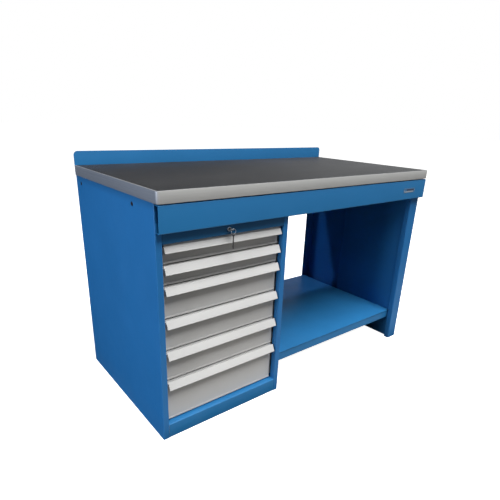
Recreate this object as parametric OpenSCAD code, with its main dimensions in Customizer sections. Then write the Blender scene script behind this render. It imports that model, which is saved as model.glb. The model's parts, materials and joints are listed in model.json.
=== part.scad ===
// Steel workbench: a laminated worktop with a metal edge and a rear upstand,
// a six-drawer cabinet with a central lock under its left end, a folded end
// panel under its right end and a low shelf across the knee space.
// Built from the front left floor corner, then centred on the bench.

/* [Worktop] */
// Width of the bench, left to right
top_w = 1500; // [1400:10:2000]
// Depth of the bench, front to back
top_d = 750; // [740:5:780]
// Height of the top of the metal edge above the floor
top_h = 940; // [940:1:1000]
// Height of the metal edge around the worktop
edge_h = 40; // [30:1:45]
// Height of the rear upstand above the metal edge
upstand_h = 58; // [30:1:120]
// Radius of the two front corners of the metal edge
corner_r = 13; // [6:1:15]
// Radius of the two top corners of the upstand
upstand_r = 18; // [4:1:25]
// Width of the lip that frames the mat
lip_w = 6; // [4:0.5:12]

/* [Sheet metal] */
// Thickness of the folded steel sheet
sheet = 2; // [1.5:0.1:2.5]
// Outside radius of the folds
bend_r = 3; // [2.6:0.1:5]
// Radius of the service holes in the end panels
side_hole_r = 4.5; // [3:0.5:6]
// Radius of the anchor holes in the floor flanges
anchor_r = 5.5; // [4:0.5:7]

/* [Apron] */
// Height of the apron below the worktop
apron_h = 91; // [80:1:91]
// Gap between the apron and the worktop
apron_gap = 4; // [2:1:5]
// Set-back of the apron face behind the metal edge
apron_y = 2.5; // [1:0.1:3]
// Inset of each end of the apron from the end of the worktop
apron_inset = 4; // [2:0.5:10]

/* [Cabinet] */
// Outside width of the drawer cabinet
cab_w = 574; // [560:1:640]
// Set-back of the cabinet front behind the worktop front
front_y = 24; // [22:1:30]
// Width of the stiles beside the drawers
stile_w = 24.5; // [24:0.5:26]
// Depth of the jambs behind the stiles
jamb_d = 25; // [22:1:27]
// Height of the bottom front rail
rail_h = 60; // [50:1:62]

/* [Drawers] */
// Opening heights of the drawers, top to bottom
pitches = [75, 75, 125, 125, 125, 175];
// Height of the lowest drawer's underside band above the floor
drawer_z = 65; // [65:1:70]
// Set-back of the drawer fronts behind the cabinet front
front_in = 26; // [24:1:27]
// Length of the drawer slides
slide_l = 600; // [580:5:610]
// Height of the drawer slides
slide_h = 35; // [30:1:36]

/* [End panel and shelf] */
// Width of the front flange of the right end panel
end_w = 64; // [50:1:80]
// Inset of the right end panel from the end of the worktop
end_inset = 6; // [0:1:12]
// Height of the top of the lower shelf
shelf_z = 164; // [120:1:400]
// Height of the shelf edges
shelf_h = 44; // [30:1:60]

/* [Lock] */
// Travel of the locking bar
bar_travel = 10; // [8:0.5:10]
// Radius of the lock's face ring
lock_r = 8; // [7.5:0.1:8.5]

/* [Badge] */
// Width of the blank badge plate
badge_w = 96; // [60:1:140]
// Height of the blank badge plate
badge_h = 24; // [20:1:50]

/* [Hidden] */
$fn = 48;
under = top_h - edge_h;
rear_y = top_d - 6;
mid_x = cab_w / 2;
right_x = top_w - end_inset;
inner_x = right_x - end_w + 15;
apron_z = under - apron_gap - apron_h;
lock_z = 785;
drawer_x0 = stile_w + 8.5;
drawer_x1 = cab_w - drawer_x0;
tray_x0 = 40.5;
tray_x1 = cab_w - tray_x0;
post_x = 27;
panel_y = front_y + front_in;
slide_y = 52;
tops = [for (i = [0:5]) drawer_z + sum_from(i)];
steel_blue = [0.16, 0.38, 0.60];
side_blue = [0.14, 0.37, 0.60];
light_grey = [0.80, 0.81, 0.82];
edge_grey = [0.62, 0.62, 0.61];
board = [0.62, 0.48, 0.32];
handle_grey = [0.88, 0.88, 0.88];
mat_grey = [0.27, 0.28, 0.30];
zinc = [0.72, 0.73, 0.74];
steel = [0.62, 0.63, 0.65];

// height of the top of drawer band i above the lowest band's underside
function sum_from(i) = i > 5 ? 0 : pitches[i] + sum_from(i + 1);

// underside of drawer band i
function low(i) = tops[i] - pitches[i];

// moves the bench so that its centre stands over the origin
module place() {
    translate([-top_w / 2, -top_d / 2, 0]) children();
}

// repeats a part on the other side of the cabinet
module both_sides() {
    children();
    translate([cab_w, 0, 0]) mirror([1, 0, 0]) children();
}

// extrudes a profile drawn in depth and height along the width
module along_x(x0, x1) {
    translate([x0, 0, 0]) rotate([90, 0, 90]) linear_extrude(x1 - x0) children();
}

// rounded fold of the sheet; q is the quadrant it fills
module fold(x, y, q) {
    translate([x, y]) rotate(90 * q) intersection() {
        difference() {
            circle(r = bend_r);
            circle(r = bend_r - sheet);
        }
        square(bend_r + 1);
    }
}

// plan of a cabinet side: skin, rounded stile, jamb and rear flange
module side_plan() {
    translate([0, front_y + bend_r]) square([sheet, rear_y - front_y - 2 * bend_r]);
    fold(bend_r, front_y + bend_r, 2);
    translate([bend_r, front_y]) square([stile_w - 2 * bend_r, sheet]);
    fold(stile_w - bend_r, front_y + bend_r, 3);
    translate([stile_w - sheet, front_y + bend_r]) square([sheet, jamb_d - bend_r]);
    fold(bend_r, rear_y - bend_r, 1);
    translate([bend_r, rear_y - sheet]) square([25 - bend_r, sheet]);
}

// hole through an end panel, along the width
module side_hole(x, y) {
    translate([x - 4, y, top_h - 67]) rotate([0, 90, 0]) cylinder(r = side_hole_r, h = 8);
}

// cabinet side with its top and floor flanges
module side_body() {
    linear_extrude(under) side_plan();
    for (z = [0, under - sheet])
        translate([sheet, 30, z]) cube([stile_w - sheet, rear_y - 36, sheet]);
}

// plan of the worktop with two round front corners, set in all round, back to depth y1
module top_plan(inset, y1) {
    r = corner_r - inset;
    translate([corner_r, inset]) square([top_w - 2 * corner_r, y1 - inset]);
    translate([inset, corner_r]) square([top_w - 2 * inset, y1 - corner_r]);
    translate([corner_r, corner_r]) circle(r = r);
    translate([top_w - corner_r, corner_r]) circle(r = r);
}

module worktop_core() color(board) place() {
    translate([0, 0, under + sheet]) linear_extrude(edge_h - 2 * sheet) top_plan(sheet, top_d - sheet);
    translate([22, 22, under]) cube([top_w - 44, top_d - 24, sheet]);
}

// opening left inside the edge's lip or return
module edge_opening(w) {
    translate([w, w]) square([top_w - 2 * w, top_d]);
}

module edge_trim() color(edge_grey) place() difference() {
    translate([0, 0, under]) linear_extrude(edge_h) top_plan(0, top_d - sheet);
    translate([0, 0, under + sheet]) linear_extrude(edge_h - 2 * sheet) top_plan(sheet, top_d);
    translate([0, 0, under - 1]) linear_extrude(sheet + 2) edge_opening(22);
    translate([0, 0, top_h - sheet - 1]) linear_extrude(sheet + 2) edge_opening(lip_w);
}

module rubber_mat() color(mat_grey) place()
    translate([lip_w, lip_w, top_h - sheet]) cube([top_w - 2 * lip_w, top_d - lip_w - sheet, sheet - 0.2]);

module rear_upstand() color(steel_blue) place()
    translate([0, top_d, 0]) rotate([90, 0, 0]) linear_extrude(sheet) {
        translate([0, under]) square([top_w, edge_h + upstand_h - upstand_r]);
        translate([upstand_r, under]) square([top_w - 2 * upstand_r, edge_h + upstand_h]);
        for (x = [upstand_r, top_w - upstand_r])
            translate([x, top_h + upstand_h - upstand_r]) circle(r = upstand_r);
    }

module front_apron() color(steel_blue) place() along_x(apron_inset, top_w - apron_inset) {
    z0 = apron_z;
    z1 = apron_z + apron_h;
    y0 = apron_y;
    translate([y0, z0 + bend_r]) square([sheet, apron_h - 2 * bend_r]);
    fold(y0 + bend_r, z0 + bend_r, 2);
    fold(y0 + bend_r, z1 - bend_r, 1);
    translate([y0 + bend_r, z1 - sheet]) square([front_y - y0 - bend_r, sheet]);
    translate([y0 + bend_r, z0]) square([front_y - y0 - 2 * bend_r, sheet]);
    fold(front_y - bend_r, z0 + bend_r, 3);
    translate([front_y - sheet, z0 + bend_r]) square([sheet, 30]);
}

module rear_rail() color(steel_blue) place() along_x(cab_w, right_x - end_w) {
    translate([rear_y - sheet, under - 40]) square([sheet, 40 - bend_r]);
    fold(rear_y - bend_r, under - bend_r, 0);
    translate([rear_y - 42, under - sheet]) square([42 - bend_r, sheet]);
}

module left_side_panel() color(side_blue) place() difference() {
    side_body();
    for (y = [183, 684]) side_hole(0, y);
    for (y = [100, 650]) translate([14, y, -1]) cylinder(r = anchor_r, h = sheet + 2);
}

module cabinet_right_side() color(side_blue) place()
    translate([cab_w, 0, 0]) mirror([1, 0, 0]) side_body();

module cabinet_back() color(side_blue) place()
    translate([25, rear_y - sheet, 0]) cube([cab_w - 50, sheet, under]);

module cabinet_floor() color(side_blue) place()
    translate([sheet, front_y + 26, rail_h - sheet])
        cube([cab_w - 2 * sheet, rear_y - front_y - 28, sheet]);

module bottom_front_rail() color(steel_blue) place() along_x(stile_w, cab_w - stile_w) {
    translate([front_y, bend_r]) square([sheet, rail_h - 2 * bend_r]);
    fold(front_y + bend_r, rail_h - bend_r, 1);
    translate([front_y + bend_r, rail_h - sheet]) square([26 - bend_r, sheet]);
    fold(front_y + bend_r, bend_r, 2);
    translate([front_y + bend_r, 0]) square([20, sheet]);
}

module lock_rail() color(steel_blue) place() difference() {
    along_x(stile_w, cab_w - stile_w) {
        z0 = tops[0];
        z1 = under - apron_gap;
        translate([front_y, z0 + bend_r]) square([sheet, z1 - z0 - 2 * bend_r]);
        fold(front_y + bend_r, z0 + bend_r, 2);
        translate([front_y + bend_r, z0]) square([22, sheet]);
        fold(front_y + bend_r, z1 - bend_r, 1);
        translate([front_y + bend_r, z1 - sheet]) square([22, sheet]);
    }
    translate([mid_x, front_y - 1, lock_z]) rotate([-90, 0, 0]) cylinder(r = 7.1, h = sheet + 2);
}

module right_end_panel() color(side_blue) place() difference() {
    union() {
        linear_extrude(under) {
            x0 = right_x - end_w;
            translate([right_x - sheet, front_y + bend_r]) square([sheet, rear_y - front_y - 2 * bend_r]);
            for (side = [0, 1]) {
                y = side == 0 ? front_y : rear_y - sheet;
                yc = side == 0 ? front_y + bend_r : rear_y - bend_r;
                translate([x0 + bend_r, y]) square([end_w - 2 * bend_r, sheet]);
                fold(right_x - bend_r, yc, side == 0 ? 3 : 0);
            }
            fold(x0 + bend_r, front_y + bend_r, 2);
            translate([x0, front_y + bend_r]) square([sheet, jamb_d - bend_r]);
            translate([x0, rear_y - sheet]) square([bend_r, sheet]);
        }
        for (z = [0, under - sheet])
            translate([right_x - 26, 30, z]) cube([24, rear_y - 36, sheet]);
    }
    for (y = [183, 684]) side_hole(right_x, y);
    for (y = [100, 650]) translate([right_x - 14, y, -1]) cylinder(r = anchor_r, h = sheet + 2);
}

module right_inner_panel() color(side_blue) place() translate([0, 0, sheet])
    linear_extrude(under - 2 * sheet) {
        translate([right_x - end_w, front_y + jamb_d]) square([inner_x - right_x + end_w + sheet, sheet]);
        translate([inner_x, front_y + jamb_d]) square([sheet, 396]);
        translate([inner_x, front_y + jamb_d + 394]) square([right_x - inner_x - sheet, sheet]);
    }

module lower_shelf() color(steel_blue) place() {
    z0 = shelf_z - shelf_h;
    along_x(cab_w, inner_x) {
        translate([55, shelf_z - sheet]) square([rear_y - 57 - bend_r, sheet]);
        translate([70, z0]) square([sheet, shelf_h - sheet]);
        fold(rear_y - 2 - bend_r, shelf_z - bend_r, 0);
        translate([rear_y - 2 - sheet, z0]) square([sheet, shelf_h - bend_r]);
    }
    for (x = [cab_w, inner_x - sheet])
        translate([x, 72, z0]) cube([sheet, rear_y - 76, shelf_h - sheet]);
}

module shelf_front_rail() color(steel_blue) place() along_x(cab_w, inner_x) {
    z0 = shelf_z - shelf_h;
    z1 = shelf_z - sheet;
    translate([58, z0 + bend_r]) square([sheet, z1 - z0 - 2 * bend_r]);
    fold(58 + bend_r, z0 + bend_r, 2);
    fold(58 + bend_r, z1 - bend_r, 1);
    translate([58 + bend_r, z1 - sheet]) square([8 - bend_r, sheet]);
    translate([58 + bend_r, z0]) square([12 - bend_r, sheet]);
}

module shelf_bracket() color(side_blue) place()
    translate([inner_x, 690, shelf_z - shelf_h + 2]) difference() {
        cube([right_x - inner_x - sheet, 40, shelf_h - 6]);
        translate([sheet, -1, sheet]) cube([right_x - inner_x - 3 * sheet, 42, shelf_h]);
    }

// one hat-shaped post that carries the slides
module post(y) {
    translate([0, 0, rail_h]) linear_extrude(under - rail_h - 10) {
        for (s = [-12, 48.5]) translate([sheet, y + s]) square([1.5, 13.5]);
        for (s = [0, 48.5]) translate([sheet, y + s]) square([post_x - sheet, 1.5]);
        translate([post_x - 1.5, y]) square([1.5, 50]);
    }
}

module slide_posts() color(zinc) place() both_sides() {
    post(80);
    post(560);
}

// channel section of a slide, open towards larger x
module channel(x0, x1, z0, z1, t) {
    translate([x0, z0]) square([t, z1 - z0]);
    translate([x0, z0]) square([x1 - x0, t]);
    translate([x0, z1 - t]) square([x1 - x0, t]);
}

// turns a profile drawn in width and height into a bar along the depth
module along_y(y0, y1) {
    translate([0, y1, 0]) rotate([90, 0, 0]) linear_extrude(y1 - y0) children();
}

module slides_fixed() color(zinc) place() both_sides()
    for (i = [0:5]) along_y(slide_y, slide_y + slide_l)
        channel(post_x, post_x + 9, low(i) + 13, low(i) + 13 + slide_h, 1.2);

// middle members of drawer band i
module slide_middle(i) color(zinc) place() both_sides()
    along_y(slide_y, slide_y + slide_l)
        channel(post_x + 1.6, post_x + 11, low(i) + 14.6, low(i) + 11.4 + slide_h, 1.2);

// drawer members of drawer band i, open towards the cabinet side, with the lock catch
module drawer_slides(i) color(zinc) place() {
    both_sides() along_y(slide_y, slide_y + slide_l) translate([2 * tray_x0, 0]) mirror([1, 0])
        channel(tray_x0, tray_x0 + 9, low(i) + 16.2, low(i) + 9.8 + slide_h, 1.2);
    translate([tray_x0 - 1.2, 58, low(i) + 9 + slide_h]) cube([1.2, 14, 16]);
    translate([tray_x0 - 11.5, 58, low(i) + 15 + slide_h]) cube([11.5, 2, 10]);
}

// open-topped tray of drawer band i
module drawer_tray(i) color(light_grey) place()
    translate([tray_x0, panel_y + 1.5, low(i) + 6]) difference() {
        cube([tray_x1 - tray_x0, 640, pitches[i] - 20]);
        translate([1.5, 1.5, 1.5]) cube([tray_x1 - tray_x0 - 3, 637, pitches[i]]);
    }

// sheet front of drawer band i with a hemmed lower edge
module drawer_front(i) color(light_grey) place() along_x(drawer_x0, drawer_x1) {
    z0 = low(i);
    translate([panel_y, z0 + 1.5]) square([1.5, pitches[i] - 5.5]);
    translate([panel_y - 1.5, z0 + 1.5]) square([1.5, 6]);
    translate([panel_y, z0 + 1.5]) circle(r = 1.5);
}

// straight strip from one point to the next, r to each side of its centre line
module strip(a, b, r) {
    d = b - a;
    translate(a) rotate(atan2(d[1], d[0])) translate([0, -r]) square([norm(d), 2 * r]);
}

// full-width slanted pull of drawer band i
module drawer_handle(i) color(handle_grey) place() along_x(drawer_x0, drawer_x1) {
    z = tops[i];
    strip([panel_y - 13, z - 2.5], [panel_y - 27, z - 31], 1);
    translate([panel_y - 27, z - 31]) circle(r = 1.03);
    strip([panel_y - 27, z - 31], [panel_y - 22.5, z - 33], 1);
    translate([panel_y - 18, z - 13.5]) square([18, 1.5]);
    translate([panel_y - 1.5, z - 30]) square([1.5, 18]);
}

module lock_barrel() color(steel) place() translate([mid_x, 0, lock_z]) rotate([-90, 0, 0]) difference() {
    union() {
        translate([0, 0, front_y - 2]) cylinder(r = lock_r, h = 2);
        translate([0, 0, front_y - 2]) cylinder(r = 6.9, h = 22);
        translate([0, 0, front_y + 2]) cylinder(r = 10, h = 4);
    }
    translate([0, 0, front_y - 3]) cylinder(r = 5.3, h = 30);
}

module lock_plug() color(steel) place() translate([mid_x, 0, lock_z]) {
    rotate([-90, 0, 0]) difference() {
        translate([0, 0, front_y - 2]) cylinder(r = 5, h = 25);
        translate([-3.6, -1.1, front_y - 3]) cube([7.2, 2.2, 22]);
    }
    translate([0, front_y + 23, 0]) rotate([-90, 0, 0]) cylinder(r = 11, h = 2);
    translate([5, front_y + 25, -5]) rotate([-90, 0, 0]) cylinder(r = 2, h = 6);
}

// flat key lying in depth and width, its slotted bow towards the user
module key_blank(w) {
    difference() {
        union() {
            translate([-w + 4, 1.5]) square([2 * w - 8, 18]);
            translate([-w, 5.5]) square([2 * w, 10]);
            for (x = [4 - w, w - 4], y = [5.5, 15.5]) translate([x, y]) circle(r = 4);
            translate([-3.2, 18]) square([6.4, 24]);
        }
        translate([-w + 4, 5.5]) square([2 * w - 8, 5]);
    }
}

module lock_key() color(zinc) place()
    translate([mid_x, 0, lock_z - 1]) linear_extrude(2) key_blank(9);

module lock_slider() color(zinc) place() translate([0, front_y + 29, 0]) rotate([90, 0, 0])
    linear_extrude(2) difference() {
        union() {
            translate([30, 772]) square([mid_x - 15, 12]);
            translate([12.6, 774]) square([20, 22]);
            translate([mid_x - 7, 772]) square([24, 14]);
        }
        translate([mid_x + 2.6, 774]) square([4.8, 10]);
        strip([17, 790], [17 + bar_travel, 790 - bar_travel], 2.4);
        translate([17, 790]) circle(r = 2.4);
        translate([17 + bar_travel, 790 - bar_travel]) circle(r = 2.4);
    }

module locking_bar() color(zinc) place() {
    translate([8, front_y + 30, 90]) cube([14, 3, 706]);
    for (i = [0:5]) translate([20, front_y + 30, low(i) + 27 + slide_h]) cube([11.5, 3, 9]);
    translate([17, front_y + 26, 790]) rotate([-90, 0, 0]) cylinder(r = 2, h = 5);
}

module bar_guides() color(zinc) place() {
    for (z = [200, 500]) translate([sheet, front_y + 27, z]) difference() {
        cube([23, 9, 12]);
        translate([5.5, 2.5, -1]) cube([15, 4, 14]);
    }
    for (x = [80, 200]) translate([x, front_y + 2, 769]) difference() {
        cube([10, 29, 18]);
        translate([-1, 24.5, 2.6]) cube([12, 3, 12.8]);
    }
}

module badge() color(zinc) place() translate([top_w - 140, apron_y, 849]) {
    translate([-badge_w / 2, -0.8, -badge_h / 2]) cube([badge_w, 0.8, badge_h]);
    for (x = [-1, 1]) translate([x * (badge_w / 2 - 5), -1.4, 0])
        rotate([-90, 0, 0]) cylinder(r = 1.8, h = 0.6);
}

module worktop_screws() color(zinc) place()
    for (x = [14, cab_w - 14, right_x - 14], y = [70, 360, 680])
        translate([x, y, under - 7]) cylinder(r = 5, h = 5);

module key_ring() color(steel) place() translate([mid_x + 7, 8, lock_z - 6.55]) rotate([90, 0, 0])
    rotate_extrude() translate([9.7, 0]) circle(r = 0.8);

// spare key hanging edge-on from the ring
module spare_key() color(steel) place()
    translate([mid_x + 6, 8, lock_z - 18]) rotate([90, 0, 90]) linear_extrude(2) difference() {
        union() {
            circle(r = 6.8);
            translate([-2.4, -52]) square([4.8, 50]);
            translate([-2.4, -48]) square([5.8, 24]);
        }
        translate([0, 2]) circle(r = 2.6);
    }

// drawer pieces, one call for each drawer
module drawer_1_tray() drawer_tray(0);
module drawer_1_front() drawer_front(0);
module drawer_1_handle() drawer_handle(0);
module drawer_1_slides() drawer_slides(0);
module slide_1_middle() slide_middle(0);
module drawer_2_tray() drawer_tray(1);
module drawer_2_front() drawer_front(1);
module drawer_2_handle() drawer_handle(1);
module drawer_2_slides() drawer_slides(1);
module slide_2_middle() slide_middle(1);
module drawer_3_tray() drawer_tray(2);
module drawer_3_front() drawer_front(2);
module drawer_3_handle() drawer_handle(2);
module drawer_3_slides() drawer_slides(2);
module slide_3_middle() slide_middle(2);
module drawer_4_tray() drawer_tray(3);
module drawer_4_front() drawer_front(3);
module drawer_4_handle() drawer_handle(3);
module drawer_4_slides() drawer_slides(3);
module slide_4_middle() slide_middle(3);
module drawer_5_tray() drawer_tray(4);
module drawer_5_front() drawer_front(4);
module drawer_5_handle() drawer_handle(4);
module drawer_5_slides() drawer_slides(4);
module slide_5_middle() slide_middle(4);
module drawer_6_tray() drawer_tray(5);
module drawer_6_front() drawer_front(5);
module drawer_6_handle() drawer_handle(5);
module drawer_6_slides() drawer_slides(5);
module slide_6_middle() slide_middle(5);

worktop_core();
edge_trim();
rubber_mat();
rear_upstand();
front_apron();
rear_rail();
left_side_panel();
cabinet_right_side();
cabinet_back();
cabinet_floor();
bottom_front_rail();
lock_rail();
right_end_panel();
right_inner_panel();
lower_shelf();
shelf_front_rail();
shelf_bracket();
slide_posts();
slides_fixed();
lock_barrel();
bar_guides();
badge();
worktop_screws();
drawer_1_tray();
drawer_1_front();
drawer_1_handle();
drawer_1_slides();
drawer_2_tray();
drawer_2_front();
drawer_2_handle();
drawer_2_slides();
drawer_3_tray();
drawer_3_front();
drawer_3_handle();
drawer_3_slides();
drawer_4_tray();
drawer_4_front();
drawer_4_handle();
drawer_4_slides();
drawer_5_tray();
drawer_5_front();
drawer_5_handle();
drawer_5_slides();
drawer_6_tray();
drawer_6_front();
drawer_6_handle();
drawer_6_slides();
slide_1_middle();
slide_2_middle();
slide_3_middle();
slide_4_middle();
slide_5_middle();
slide_6_middle();
lock_plug();
lock_key();
lock_slider();
locking_bar();
key_ring();
spare_key();
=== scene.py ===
"""Looks of a steel workbench with a six-drawer cabinet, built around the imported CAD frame."""

import json
import math

import bmesh
import bpy
from mathutils import Matrix, Vector


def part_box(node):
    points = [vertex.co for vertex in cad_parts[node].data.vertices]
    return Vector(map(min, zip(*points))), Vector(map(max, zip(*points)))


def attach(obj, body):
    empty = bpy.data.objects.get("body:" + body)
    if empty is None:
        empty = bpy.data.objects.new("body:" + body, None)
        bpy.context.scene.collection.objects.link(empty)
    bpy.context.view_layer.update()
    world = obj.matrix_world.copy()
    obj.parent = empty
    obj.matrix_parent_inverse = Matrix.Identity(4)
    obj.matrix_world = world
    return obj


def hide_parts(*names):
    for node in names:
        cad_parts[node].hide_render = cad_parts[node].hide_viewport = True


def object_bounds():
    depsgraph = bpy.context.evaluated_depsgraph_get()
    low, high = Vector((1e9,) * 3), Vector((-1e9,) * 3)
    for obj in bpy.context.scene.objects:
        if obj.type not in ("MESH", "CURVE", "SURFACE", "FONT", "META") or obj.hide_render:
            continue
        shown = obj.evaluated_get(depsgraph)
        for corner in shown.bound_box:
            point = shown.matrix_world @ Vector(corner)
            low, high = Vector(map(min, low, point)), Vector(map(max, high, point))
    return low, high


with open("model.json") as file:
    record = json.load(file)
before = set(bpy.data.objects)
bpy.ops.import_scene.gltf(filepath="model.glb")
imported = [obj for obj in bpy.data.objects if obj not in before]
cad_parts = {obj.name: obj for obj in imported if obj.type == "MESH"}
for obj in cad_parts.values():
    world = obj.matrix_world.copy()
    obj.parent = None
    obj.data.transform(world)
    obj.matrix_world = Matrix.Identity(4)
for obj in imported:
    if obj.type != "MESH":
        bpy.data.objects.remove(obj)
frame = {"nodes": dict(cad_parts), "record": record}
cad_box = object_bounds()
nodes = frame["nodes"]
record = frame["record"]
MM = 0.001


# ---------------------------------------------------------------- camera
# yaw to the right, pitch and roll in degrees, and the place in metres
CAMERA_TURN = (39.16, -21.21, 2.2)
CAMERA_PLACE = (-1.3335, -1.5459, 1.1531)
SENSOR = 36
FOCAL_PER_SENSOR = 0.855
CAMERA_SHIFT = (0.0005, 0.0678)


def make_camera():
    """A camera in front of the bench's left end, a little above it."""
    yaw, pitch, roll = (math.radians(a) for a in CAMERA_TURN)
    ahead = Vector((math.sin(yaw) * math.cos(pitch), math.cos(yaw) * math.cos(pitch), math.sin(pitch)))
    level = Vector((math.cos(yaw), -math.sin(yaw), 0))
    up = level.cross(ahead)
    right = level * math.cos(roll) + up * math.sin(roll)
    top = up * math.cos(roll) - level * math.sin(roll)
    data = bpy.data.cameras.new("camera")
    cam = bpy.data.objects.new("camera", data)
    bpy.context.scene.collection.objects.link(cam)
    turn = Matrix((right, top, -ahead)).transposed().to_4x4()
    cam.matrix_world = Matrix.Translation(CAMERA_PLACE) @ turn
    data.sensor_width = SENSOR
    data.lens = SENSOR * FOCAL_PER_SENSOR
    data.shift_x, data.shift_y = CAMERA_SHIFT
    data.clip_start = 0.05
    data.clip_end = 100
    bpy.context.scene.camera = cam


make_camera()


# ---------------------------------------------------------------- material kit
class Mat:
    """A node material with short calls for the parts that repeat."""

    def __init__(self, name, color, rough=0.5, metallic=0.0, **sockets):
        self.material = bpy.data.materials.new(name)
        self.material.use_nodes = True
        self.tree = self.material.node_tree
        self.bsdf = self.tree.nodes["Principled BSDF"]
        self.bsdf.inputs["Base Color"].default_value = (*color, 1)
        self.bsdf.inputs["Roughness"].default_value = rough
        self.bsdf.inputs["Metallic"].default_value = metallic
        for key, value in sockets.items():
            self.bsdf.inputs[key.replace("_", " ")].default_value = value
        self.coords = self.node("ShaderNodeTexCoord").outputs["Object"]

    def node(self, kind, **values):
        made = self.tree.nodes.new(kind)
        for key, value in values.items():
            setattr(made, key, value)
        return made

    def link(self, a, b):
        self.tree.links.new(a, b)

    def mapped(self, scale=(1, 1, 1), turn=(0, 0, 0), shift=(0, 0, 0)):
        made = self.node("ShaderNodeMapping")
        made.inputs["Scale"].default_value = scale
        made.inputs["Rotation"].default_value = turn
        made.inputs["Location"].default_value = shift
        self.link(self.coords, made.inputs["Vector"])
        return made.outputs["Vector"]

    def noise(self, scale, detail=3, rough=0.55, vector=None):
        made = self.node("ShaderNodeTexNoise")
        made.inputs["Scale"].default_value = scale
        made.inputs["Detail"].default_value = detail
        made.inputs["Roughness"].default_value = rough
        self.link(vector or self.coords, made.inputs["Vector"])
        return made.outputs["Fac"]

    def cells(self, scale, vector=None, feature="F1"):
        made = self.node("ShaderNodeTexVoronoi", feature=feature)
        made.inputs["Scale"].default_value = scale
        self.link(vector or self.coords, made.inputs["Vector"])
        return made

    def remap(self, value, low, high, to_low=0.0, to_high=1.0):
        made = self.node("ShaderNodeMapRange")
        for key, v in zip(("From Min", "From Max", "To Min", "To Max"), (low, high, to_low, to_high)):
            made.inputs[key].default_value = v
        self.link(value, made.inputs["Value"])
        return made.outputs["Result"]

    def mix(self, factor, a, b, blend="MIX"):
        made = self.node("ShaderNodeMix", data_type="RGBA", blend_type=blend)
        for socket, value in ((made.inputs["Factor"], factor), (made.inputs[6], a), (made.inputs[7], b)):
            if isinstance(value, (int, float)):
                socket.default_value = value
            elif isinstance(value, tuple):
                socket.default_value = (*value, 1)
            else:
                self.link(value, socket)
        return made.outputs[2]

    def math(self, operation, a, b=0.5):
        made = self.node("ShaderNodeMath", operation=operation)
        for socket, value in zip(made.inputs, (a, b)):
            if isinstance(value, (int, float)):
                socket.default_value = value
            else:
                self.link(value, socket)
        return made.outputs[0]

    def color(self, socket):
        self.link(socket, self.bsdf.inputs["Base Color"])

    def rough(self, socket):
        self.link(socket, self.bsdf.inputs["Roughness"])

    def bump(self, height, distance, strength=1.0):
        made = self.node("ShaderNodeBump")
        made.inputs["Distance"].default_value = distance
        made.inputs["Strength"].default_value = strength
        old = self.bsdf.inputs["Normal"]
        if old.is_linked:
            self.link(old.links[0].from_socket, made.inputs["Normal"])
        self.link(height, made.inputs["Height"])
        self.link(made.outputs["Normal"], old)


def scaled(color, k):
    return tuple(min(c * k, 1) for c in color)


def powder_coat(name, color, rough=0.42, spread=0.07, dust=0.0, shade=0.0):
    """Powder coat: fine orange peel, faint patches, soft scuffs, dust low down and painted shade along the
    top, under the worktop's trim.
    """
    m = Mat(name, color, rough, Specular_IOR_Level=0.35)
    patches = m.remap(m.noise(3.1, 4), 0.3, 0.7)
    tone = m.mix(patches, scaled(color, 1 - spread), scaled(color, 1 + spread))
    scuffs = m.remap(m.noise(1.0, 6, 0.7, m.mapped((60, 60, 9))), 0.60, 0.74)
    scuff_place = m.remap(m.noise(4.5, 2), 0.45, 0.7)
    worn = m.math("MULTIPLY", m.math("MULTIPLY", scuffs, scuff_place), 0.16)
    tone = m.mix(worn, tone, scaled(color, 1.35))
    if dust:
        height = m.node("ShaderNodeSeparateXYZ")
        m.link(m.coords, height.inputs[0])
        low = m.remap(height.outputs["Z"], 0.0, 0.10, dust, 0.0)
        film = m.math("MULTIPLY", low, m.remap(m.noise(14, 5), 0.35, 0.75))
        tone = m.mix(film, tone, (0.35, 0.36, 0.37))
        # painted shade: a darker band just under the worktop's trim, a shadow line painted into the colour
        # (only where shade is given)
        painted_shade_under_trim = m.remap(height.outputs["Z"], 0.872, 0.897, 0.0, shade)
        tone = m.mix(painted_shade_under_trim, tone, scaled(color, 0.3))
    m.color(tone)
    m.rough(m.remap(m.noise(9, 5), 0.25, 0.75, rough - 0.07, rough + 0.08))
    m.bump(m.noise(900, 2), 0.00006, 0.5)
    m.bump(m.noise(140, 3), 0.00012, 0.35)
    return m.material


def satin_aluminium(name, color, rough=0.36, across=(4, 4, 260), metallic=0.85, painted_end_shade=None):
    """Drawn aluminium: lines along the profile, nicks and cloudy patches, and painted shade that darkens
    the end and top faces.
    """
    m = Mat(name, color, rough, metallic)
    lines = m.noise(1.0, 5, 0.7, m.mapped(across))
    clouds = m.remap(m.noise(7, 4), 0.3, 0.7)
    tone = m.mix(clouds, scaled(color, 0.94), scaled(color, 1.05))
    tone = m.mix(m.remap(lines, 0.3, 0.7), tone, scaled(color, 0.9))
    nicks = m.remap(m.cells(85).outputs["Distance"], 0.0, 0.05, 0.35, 0.0)
    tone = m.mix(nicks, tone, scaled(color, 0.7))
    if painted_end_shade:
        # painted shade: faces turned sideways are multiplied by the given colour and faces turned up by a
        # grey, darkening them for how the light falls
        split = m.node("ShaderNodeSeparateXYZ")
        m.link(m.node("ShaderNodeNewGeometry").outputs["Normal"], split.inputs[0])
        end_shade_mask = m.remap(m.math("ABSOLUTE", split.outputs["X"]), 0.40, 0.96)
        tone = m.mix(end_shade_mask, tone, painted_end_shade, "MULTIPLY")
        top_shade_mask = m.remap(split.outputs["Z"], 0.45, 0.9, 0.0, 1.0)
        tone = m.mix(top_shade_mask, tone, (0.62, 0.63, 0.66), "MULTIPLY")
    m.color(tone)
    m.rough(m.remap(lines, 0.3, 0.7, rough - 0.08, rough + 0.1))
    m.bump(lines, 0.00004, 0.5)
    return m.material


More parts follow.
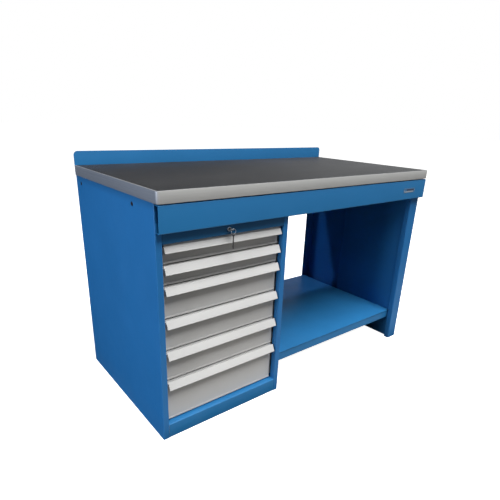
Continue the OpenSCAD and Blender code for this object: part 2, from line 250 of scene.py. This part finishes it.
def zinc_plate(name, color, rough=0.34):
    """Zinc-plated sheet: faint crystals, smears and fine rolling lines."""
    m = Mat(name, color, rough, 0.9)
    crystals = m.cells(60).outputs["Color"]
    grey = m.node("ShaderNodeRGBToBW")
    m.link(crystals, grey.inputs[0])
    tone = m.mix(m.remap(grey.outputs[0], 0, 1), scaled(color, 0.86), scaled(color, 1.08))
    smears = m.remap(m.noise(12, 5), 0.4, 0.7)
    m.color(m.mix(m.math("MULTIPLY", smears, 0.25), tone, scaled(color, 0.75)))
    m.rough(m.remap(m.noise(30, 4), 0.3, 0.7, rough - 0.08, rough + 0.14))
    m.bump(m.noise(1.0, 4, 0.6, m.mapped((300, 6, 300))), 0.00003, 0.5)
    return m.material


def polished_metal(name, color, rough=0.2, metallic=1.0):
    """Nickel-plated lock parts: fine turning marks, finger smears and tiny pits."""
    m = Mat(name, color, rough, metallic)
    smears = m.remap(m.noise(160, 4), 0.35, 0.7)
    m.color(m.mix(smears, color, scaled(color, 0.8)))
    m.rough(m.remap(m.noise(420, 3), 0.3, 0.7, rough, rough + 0.18))
    m.bump(m.noise(1600, 2), 0.00002, 0.5)
    return m.material


def ribbed_rubber(name, color):
    """Bench mat: fine streaks along the bench, a pebbled skin, pale dust and a painted sheen that grows
    towards the right.
    """
    m = Mat(name, color, 0.5, Specular_IOR_Level=0.55)
    streaks = m.noise(1.0, 6, 0.75, m.mapped((2.5, 190, 1)))
    wide = m.noise(1.0, 3, 0.6, m.mapped((0.9, 26, 1)))
    tone = m.mix(m.remap(streaks, 0.32, 0.68), scaled(color, 0.72), scaled(color, 1.35))
    tone = m.mix(m.remap(wide, 0.35, 0.65, 0, 0.5), tone, scaled(color, 1.2))
    dust = m.remap(m.noise(3.2, 5), 0.5, 0.75, 0, 0.05)
    tone = m.mix(dust, tone, (0.22, 0.22, 0.225))
    split = m.node("ShaderNodeSeparateXYZ")
    m.link(m.coords, split.inputs[0])
    # painted sheen: the colour grows paler towards the right, standing in for the mat's grazing reflection
    to_the_right = m.remap(split.outputs["X"], -0.25, 0.65)
    painted_sheen = m.math("MULTIPLY", to_the_right, m.remap(wide, 0.3, 0.7, 0.05, 0.13))
    tone = m.mix(painted_sheen, tone, (0.30, 0.31, 0.32))
    specks = m.remap(m.cells(330).outputs["Distance"], 0.0, 0.16, 0.45, 0.0)
    m.color(m.mix(specks, tone, scaled(color, 1.7)))
    m.rough(m.remap(streaks, 0.3, 0.7, 0.42, 0.60))
    m.bump(streaks, 0.0003, 0.6)
    m.bump(m.noise(1500, 2), 0.0001, 0.5)
    return m.material


def plywood(name, color):
    """Laminated board: thin plies in height, with grain and pores along the bench."""
    m = Mat(name, color, 0.6)
    wave = m.node("ShaderNodeTexWave", bands_direction="Z")
    wave.inputs["Scale"].default_value = 75
    wave.inputs["Distortion"].default_value = 0.6
    m.link(m.coords, wave.inputs["Vector"])
    grain = m.noise(1.0, 6, 0.65, m.mapped((5, 110, 110)))
    tone = m.mix(m.remap(wave.outputs["Fac"], 0.3, 0.7), scaled(color, 0.62), color)
    tone = m.mix(m.remap(grain, 0.4, 0.7, 0, 0.6), tone, scaled(color, 0.5))
    m.color(tone)
    m.rough(m.remap(grain, 0.3, 0.7, 0.5, 0.72))
    m.bump(grain, 0.0002, 0.5)
    return m.material


BLUE = (0.021, 0.179, 0.43)
# painted light: the side panels' blue is its own copy of the paint, retuned for how the left light falls
# on them
SIDE_BLUE_PAINTED_LIGHT = (0.020, 0.166, 0.44)
GREY = (0.535, 0.537, 0.535)

blue_paint = powder_coat("blue_paint", BLUE, 0.44, 0.05, dust=0.05)
# side panels: the retuned blue, real dust low down, and painted shade under the worktop's trim
side_paint = powder_coat("side_paint", SIDE_BLUE_PAINTED_LIGHT, 0.44, 0.05, dust=0.06, shade=0.4)
# painted shade: the lock rail is a darker copy of the blue paint, standing in for the apron's shadow over
# it
lock_rail_painted_shade = powder_coat("lock_rail_painted_shade", scaled(BLUE, 0.58), 0.44, 0.05)
# painted shade: the shelf is a darker copy of the blue paint, standing in for the shade under the worktop;
# its patches vary more
shelf_painted_shade = powder_coat("shelf_painted_shade", scaled(BLUE, 0.88), 0.44, 0.12)
grey_paint = powder_coat("grey_paint", GREY, 0.46, 0.04)
# the trim's metal, with painted shade on its end and top faces
edge_metal = satin_aluminium("edge_metal", (0.565, 0.57, 0.565), 0.5, metallic=0.35,
                             painted_end_shade=(0.42, 0.48, 0.58))
zinc = zinc_plate("zinc", (0.55, 0.56, 0.57))
lock_metal = polished_metal("lock_metal", (0.74, 0.80, 0.88), 0.3, 0.5)
dark_metal = polished_metal("dark_metal", (0.10, 0.105, 0.11), 0.34)
key_metal = polished_metal("key_metal", (0.20, 0.20, 0.20), 0.36)
mat_rubber = ribbed_rubber("mat_rubber", (0.0135, 0.014, 0.016))
grommet_rubber = ribbed_rubber("grommet_rubber", (0.006, 0.007, 0.010))
core_wood = plywood("core_wood", (0.50, 0.36, 0.22))
badge_metal = satin_aluminium("badge_metal", (0.46, 0.50, 0.54), 0.42, (60, 4, 500), metallic=0.3)
enamel = powder_coat("enamel", (0.07, 0.19, 0.36), 0.35, 0.04)
dark_enamel = powder_coat("dark_enamel", (0.055, 0.06, 0.10), 0.35, 0.04)

BY_SLOT = {
    "blue_paint": blue_paint, "side_paint": side_paint, "core_wood": core_wood,
    "mat_rubber": mat_rubber, "grey_paint": grey_paint, "zinc": zinc,
    "lock_metal": lock_metal, "badge_plate": badge_metal, "edge_metal": edge_metal,
}


# ---------------------------------------------------------------- pieces from the CAD shapes
def body_of(node):
    return next(b for b, members in record["behaviour"]["bodies"].items() if node in members)


SLOT_OF = {s["node"]: s["material_slot"] for s in record["subparts"]}


def set_material(obj, material):
    obj.data.materials.clear()
    obj.data.materials.append(material)


def place_piece(obj, node, material=None):
    """Gives a new piece its body, slot and material, and lets it stand for the CAD node."""
    set_material(obj, material or BY_SLOT[SLOT_OF[node]])
    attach(obj, body_of(node))
    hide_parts(node)
    return obj


def new_object(name, bm):
    """Turns a bmesh into an object of the scene with smooth faces and crisp corners."""
    for face in bm.faces:
        face.smooth = True
    mesh = bpy.data.meshes.new(name)
    bm.to_mesh(mesh)
    bm.free()
    obj = bpy.data.objects.new(name, mesh)
    bpy.context.scene.collection.objects.link(obj)
    obj.modifiers.new("edges", "EDGE_SPLIT").split_angle = math.radians(38)
    return obj


def roundable(edge, width, shortest):
    """True for an outer or inner corner whose neighbours leave room for the rounding."""
    if len(edge.link_faces) != 2 or edge.calc_face_angle(0) < math.radians(35):
        return False
    if edge.calc_length() < shortest * MM:
        return False
    beside = [e for v in edge.verts for e in v.link_edges if e is not edge]
    return all(e.calc_length() > 1.6 * width * MM for e in beside)


def softened(node, width, shortest=3.0, segments=2, material=None):
    """A copy of a CAD node whose flats are whole faces and whose edges are slightly rounded."""
    bm = bmesh.new()
    bm.from_mesh(nodes[node].data)
    bmesh.ops.remove_doubles(bm, verts=bm.verts, dist=1e-6)
    bmesh.ops.dissolve_limit(bm, angle_limit=math.radians(0.5), verts=bm.verts, edges=bm.edges)
    chosen = [e for e in bm.edges if roundable(e, width, shortest)]
    if chosen:
        bmesh.ops.bevel(bm, geom=chosen, offset=width * MM, offset_type="OFFSET", segments=segments,
                        profile=0.5, affect="EDGES", clamp_overlap=True)
    return place_piece(new_object(node + "_finish", bm), node, material)


# rounding in mm for each CAD node that keeps its shape
ROUNDING = {
    "worktop_core": 0.8, "rear_upstand": 0.5, "front_apron": 0.5, "rear_rail": 0.5,
    "left_side_panel": 1.1, "cabinet_right_side": 0.6, "cabinet_back": 0.5, "cabinet_floor": 0.5,
    "bottom_front_rail": 0.5, "right_end_panel": 0.7, "right_inner_panel": 0.5,
    "shelf_front_rail": 0.5, "shelf_bracket": 0.5, "slide_posts": 0.4,
    "slides_fixed": 0.3, "bar_guides": 0.3, "lock_slider": 0.3, "locking_bar": 0.4,
}
for i in range(1, 7):
    ROUNDING[f"drawer_{i}_tray"] = 0.4
    ROUNDING[f"drawer_{i}_front"] = 0.4
    ROUNDING[f"drawer_{i}_handle"] = 0.4
    ROUNDING[f"drawer_{i}_slides"] = 0.3
    ROUNDING[f"slide_{i}_middle"] = 0.3

for name, obj in nodes.items():
    set_material(obj, BY_SLOT[SLOT_OF[name]])

for name, width in ROUNDING.items():
    softened(name, width)
# the shelf takes the darker painted-shade copy of the blue
softened("lower_shelf", 0.5, material=shelf_painted_shade)
# the lock rail takes the darker painted-shade copy of the blue
softened("lock_rail", 0.5, material=lock_rail_painted_shade)
softened("edge_trim", 0.7, shortest=0.5, segments=3)
softened("lock_barrel", 0.5, shortest=0.2, segments=3)
softened("lock_plug", 0.3, shortest=0.2, material=dark_metal)
softened("lock_key", 0.45, shortest=0.3, material=key_metal)
softened("spare_key", 0.45, shortest=0.3, material=key_metal)


# ---------------------------------------------------------------- pieces made afresh
def extruded(bm, outline, axis, start, end):
    """Adds a closed prism of a flat outline; axis 0, 1 or 2 is the direction it is drawn out along."""
    def point(a, b, c):
        return Vector(((c, a, b), (a, c, b), (a, b, c))[axis])

    first = [bm.verts.new(point(a, b, start)) for a, b in outline]
    last = [bm.verts.new(point(a, b, end)) for a, b in outline]
    count = len(outline)
    for k in range(count):
        nxt = (k + 1) % count
        bm.faces.new((first[k], first[nxt], last[nxt], last[k]))
    bm.faces.new(first)
    bm.faces.new(last)
    bmesh.ops.recalc_face_normals(bm, faces=bm.faces)


def turned(bm, centre, outward, profile, steps=28):
    """Adds a ring turned about an axis along the width; profile is a closed list of radius and height."""
    rings = []
    for k in range(steps):
        angle = math.tau * k / steps
        across = Vector((0, math.cos(angle), math.sin(angle)))
        rings.append([bm.verts.new(centre + across * r + Vector((outward * h, 0, 0))) for r, h in profile])
    count = len(profile)
    for k in range(steps):
        one = rings[k]
        two = rings[(k + 1) % steps]
        for j in range(count):
            bm.faces.new((one[j], one[(j + 1) % count], two[(j + 1) % count], two[j]))
    bmesh.ops.recalc_face_normals(bm, faces=bm.faces)


def circle_points(cx, cy, r, sides):
    angles = [math.tau * k / sides for k in range(sides)]
    return [(cx + r * math.cos(angle), cy + r * math.sin(angle)) for angle in angles]


def rounded_rectangle(cx, cy, w, h, r, steps=6):
    points = []
    for quarter in range(4):
        sx = 1 if quarter in (0, 3) else -1
        sy = 1 if quarter in (0, 1) else -1
        for k in range(steps + 1):
            angle = math.pi / 2 * (quarter + k / steps)
            x = cx + sx * (w / 2 - r) + r * math.cos(angle)
            y = cy + sy * (h / 2 - r) + r * math.sin(angle)
            points.append((x, y))
    return points


def make_mat():
    """The worktop mat, with shallow flutes that run along the bench."""
    a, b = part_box("rubber_mat")
    pitch = 4.0 * MM
    groove = 0.9 * MM
    depth = 0.25 * MM
    soft = 0.5 * MM
    margin = 3 * MM
    outline = [(b.y, a.z), (a.y, a.z), (a.y, b.z - soft), (a.y + soft, b.z)]
    count = int((b.y - a.y - 2 * margin) / pitch)
    for k in range(count):
        y = a.y + margin + k * pitch
        flute = ((0, 0), (0.3, depth), (0.7, depth), (1, 0))
        outline += [(y + groove * share, b.z - down) for share, down in flute]
    outline += [(b.y - soft, b.z), (b.y, b.z - soft)]
    bm = bmesh.new()
    extruded(bm, outline, 0, a.x, b.x)
    place_piece(new_object("worktop_mat", bm), "rubber_mat")


def make_screws():
    """Hexagon heads with washers under the worktop."""
    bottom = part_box("worktop_screws")[0].z
    apart = 11 * MM
    # sides, radius, and height from and to, in mm: washer, hexagon head and its bevelled end
    layers = ((32, 5.0, 3.8, 5.0), (6, 4.4, 0.4, 3.8), (6, 3.9, 0.0, 0.4))
    bm = bmesh.new()
    groups = []
    for v in nodes["worktop_screws"].data.vertices:
        group = next((g for g in groups if (v.co.xy - g[0].xy).length < apart), None)
        if group is None:
            group = []
            groups.append(group)
        group.append(v.co.copy())
    for points in groups:
        x = (min(p.x for p in points) + max(p.x for p in points)) / 2
        y = (min(p.y for p in points) + max(p.y for p in points)) / 2
        for sides, r, low, high in layers:
            extruded(bm, circle_points(x, y, r * MM, sides), 2, bottom + low * MM, bottom + high * MM)
    place_piece(new_object("worktop_screw_heads", bm), "worktop_screws")


def make_key_ring():
    """A split ring of two close turns of wire."""
    a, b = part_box("key_ring")
    centre = (a + b) / 2
    radius = (b.x - a.x) / 2 - 0.8 * MM
    wire = 0.40 * MM
    turns = 1.96
    steps = 150
    sides = 10
    start = 0.6
    crossing = 0.03
    aside = Vector((0, 1, 0))
    bm = bmesh.new()
    rings = []
    for k in range(steps + 1):
        share = k / steps
        angle = math.tau * turns * share + start
        out = Vector((math.cos(angle), 0, math.sin(angle)))
        shift = wire * max(-1, min(1, (share - 0.5) / crossing))
        mid = centre + out * radius + aside * shift
        ring = []
        for j in range(sides):
            t = math.tau * j / sides
            reach = out * math.cos(t) * 1.15 + aside * math.sin(t) * 0.9
            ring.append(bm.verts.new(mid + reach * wire))
        rings.append(ring)
    for one, two in zip(rings, rings[1:]):
        for j in range(sides):
            bm.faces.new((one[j], one[(j + 1) % sides], two[(j + 1) % sides], two[j]))
    bm.faces.new(rings[0])
    bm.faces.new(rings[-1])
    bmesh.ops.recalc_face_normals(bm, faces=bm.faces)
    place_piece(new_object("split_ring", bm), "key_ring")


def make_badge():
    """A blank plate with a raised field, a plain dark bar over a plain light bar, and two rivets."""
    a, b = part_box("badge")
    cx = (a.x + b.x) / 2
    cz = (a.z + b.z) / 2
    w = b.x - a.x
    h = b.z - a.z
    back = b.y
    face = back - 0.5 * MM
    field = face - 0.12 * MM
    bar = face - 0.3 * MM
    parts = (
        ("badge_plate", enamel, (cx, cz, w, h, 3 * MM), face, back),
        ("badge_field", enamel, (cx, cz, w - 3 * MM, h - 3 * MM, 2 * MM), field, face),
        ("badge_dark_bar", dark_enamel, (cx + 8 * MM, cz + 3 * MM, w - 34 * MM, 7 * MM, 2.5 * MM),
         bar, field),
        ("badge_light_bar", badge_metal, (cx - 3 * MM, cz - 5.5 * MM, w - 22 * MM, 5 * MM, 2 * MM),
         bar, field),
    )
    for name, material, shape, front, rear in parts:
        bm = bmesh.new()
        extruded(bm, rounded_rectangle(*shape), 1, front, rear)
        obj = new_object(name, bm)
        set_material(obj, material)
        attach(obj, body_of("badge"))
        if name == "badge_plate":
            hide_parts("badge")
    bm = bmesh.new()
    for side in (-1, 1):
        x = cx + side * (w / 2 - 5 * MM)
        for r, front, rear in ((1.8, -1.25, -0.5), (1.4, -1.4, -1.25)):
            extruded(bm, circle_points(x, cz, r * MM, 20), 1, back + front * MM, back + rear * MM)
    rivets = new_object("badge_rivets", bm)
    set_material(rivets, lock_metal)
    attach(rivets, body_of("badge"))


def make_grommets():
    """Dark rubber grommets in the four service holes of the end panels."""
    rows = {m["name"]: m for m in record["mounts"]}
    # share of the hole's radius, and mm out from the panel's face
    profile = ((0.80, -2.6), (0.98, -2.6), (0.98, 0.0), (1.62, 0.0),
               (1.70, 0.5), (1.55, 1.2), (0.95, 1.2), (0.80, 0.7))
    bm = bmesh.new()
    for name in ("left_side_holes", "right_side_holes"):
        mount = rows[name]
        centre = Vector(mount["pos_m"])
        outward = mount["axis"][0]
        hole = mount["dims"]["hole_r_mm"] * MM
        for side in (-1, 1):
            middle = centre + Vector((0, side * mount["dims"]["spacing_x_mm"] * MM / 2, 0))
            turned(bm, middle, outward, [(r * hole, h * MM) for r, h in profile])
    obj = new_object("hole_grommets", bm)
    set_material(obj, grommet_rubber)
    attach(obj, "bench")


make_mat()
make_screws()
make_key_ring()
make_badge()
make_grommets()


# ---------------------------------------------------------------- stage and light
def add_light(name, place, aim, size, power, color, spread):
    data = bpy.data.lights.new(name, "AREA")
    data.spread = math.radians(spread)
    data.shape = "RECTANGLE"
    data.size, data.size_y = size
    data.energy = power
    data.color = color
    obj = bpy.data.objects.new(name, data)
    obj.location = place
    obj.visible_camera = False
    obj.rotation_euler = (Vector(aim) - Vector(place)).to_track_quat("-Z", "Y").to_euler()
    bpy.context.scene.collection.objects.link(obj)


# height as a share from straight down to straight up, and the sky's brightness there
SKY_STOPS = ((0.0, 0.0), (0.49, 0.01), (0.52, 0.24), (0.66, 0.24), (0.78, 0.12), (1.0, 0.12))
# direction to the right, from and to, and the strength there
SKY_ACROSS = (0.42, 0.82, 0.10, 3.5)


def make_world():
    """White to the eye; as light, a low sky that is brighter to the right of the bench."""
    world = bpy.data.worlds.new("world")
    bpy.context.scene.world = world
    world.use_nodes = True
    tree = world.node_tree
    tree.nodes.clear()
    out = tree.nodes.new("ShaderNodeOutputWorld")
    seen = tree.nodes.new("ShaderNodeBackground")
    seen.inputs["Color"].default_value = (1, 1, 1, 1)
    sky = tree.nodes.new("ShaderNodeBackground")
    ramp = tree.nodes.new("ShaderNodeValToRGB")
    coords = tree.nodes.new("ShaderNodeTexCoord")
    split = tree.nodes.new("ShaderNodeSeparateXYZ")
    half = tree.nodes.new("ShaderNodeMapRange")
    half.inputs["From Min"].default_value = -1
    tree.links.new(coords.outputs["Generated"], split.inputs[0])
    tree.links.new(split.outputs["Z"], half.inputs["Value"])
    tree.links.new(half.outputs["Result"], ramp.inputs["Fac"])
    tree.links.new(ramp.outputs["Color"], sky.inputs["Color"])
    for where, _ in SKY_STOPS[2:]:
        ramp.color_ramp.elements.new(where)
    for element, (where, value) in zip(ramp.color_ramp.elements, SKY_STOPS):
        element.position = where
        element.color = (value * 0.97, value * 0.99, value, 1)
    across = tree.nodes.new("ShaderNodeMapRange")
    for key, value in zip(("From Min", "From Max", "To Min", "To Max"), SKY_ACROSS):
        across.inputs[key].default_value = value
    tree.links.new(split.outputs["X"], across.inputs["Value"])
    tree.links.new(across.outputs["Result"], sky.inputs["Strength"])
    path = tree.nodes.new("ShaderNodeLightPath")
    pick = tree.nodes.new("ShaderNodeMixShader")
    tree.links.new(path.outputs["Is Camera Ray"], pick.inputs["Fac"])
    tree.links.new(sky.outputs[0], pick.inputs[1])
    tree.links.new(seen.outputs[0], pick.inputs[2])
    tree.links.new(pick.outputs[0], out.inputs["Surface"])


def make_floor():
    """A wide plain white floor just under the bench's feet."""
    reach = 40
    corners = [(-reach, -reach, 0), (reach, -reach, 0), (reach, reach, 0), (-reach, reach, 0)]
    mesh = bpy.data.meshes.new("floor")
    mesh.from_pydata(corners, [], [(0, 1, 2, 3)])
    floor = bpy.data.objects.new("floor", mesh)
    floor.location.z = cad_box[0].z - 0.5 * MM
    bpy.context.scene.collection.objects.link(floor)
    m = Mat("floor_paint", (0.86, 0.86, 0.86), 0.9)
    m.bsdf.inputs["Emission Color"].default_value = (1, 1, 1, 1)
    m.bsdf.inputs["Emission Strength"].default_value = 1.0
    set_material(floor, m.material)
    floor.visible_diffuse = False
    floor.visible_glossy = False


# name, place, aim, size, watts, colour and spread in degrees
LIGHTS = (
    ("key", (0, -3.5, 7.95), (0, -0.375, 0.5), (4.6, 4.6), 905, (1, 0.995, 0.98), 180),
    ("front", (2.2, -5.6, 2.6), (0.1, 0, 0.45), (2.6, 1.6), 34, (1, 0.97, 0.93), 180),
    ("bounce", (0.35, -0.77, 0.002), (0.35, -0.77, 1), (3.0, 0.74), 3.6, (1, 0.95, 0.88), 180),
    ("left", (-3.9, -0.35, 1.3), (-0.75, 0, 0.6), (1.4, 2.0), 90, (0.95, 0.97, 1.06), 180),
    ("back", (-0.3, 3.3, 0.62), (-0.5, 0.37, 0.62), (0.6, 0.5), 2.2, (0.97, 0.98, 1), 30),
    ("rear", (-0.9, 1.57, 4.2), (0.6, 0.25, 0.2), (0.25, 0.25), 0.75, (0.80, 0.78, 1), 18),
)

make_world()
make_floor()
for light in LIGHTS:
    add_light(*light)
bpy.context.scene.view_settings.view_transform = "Standard"
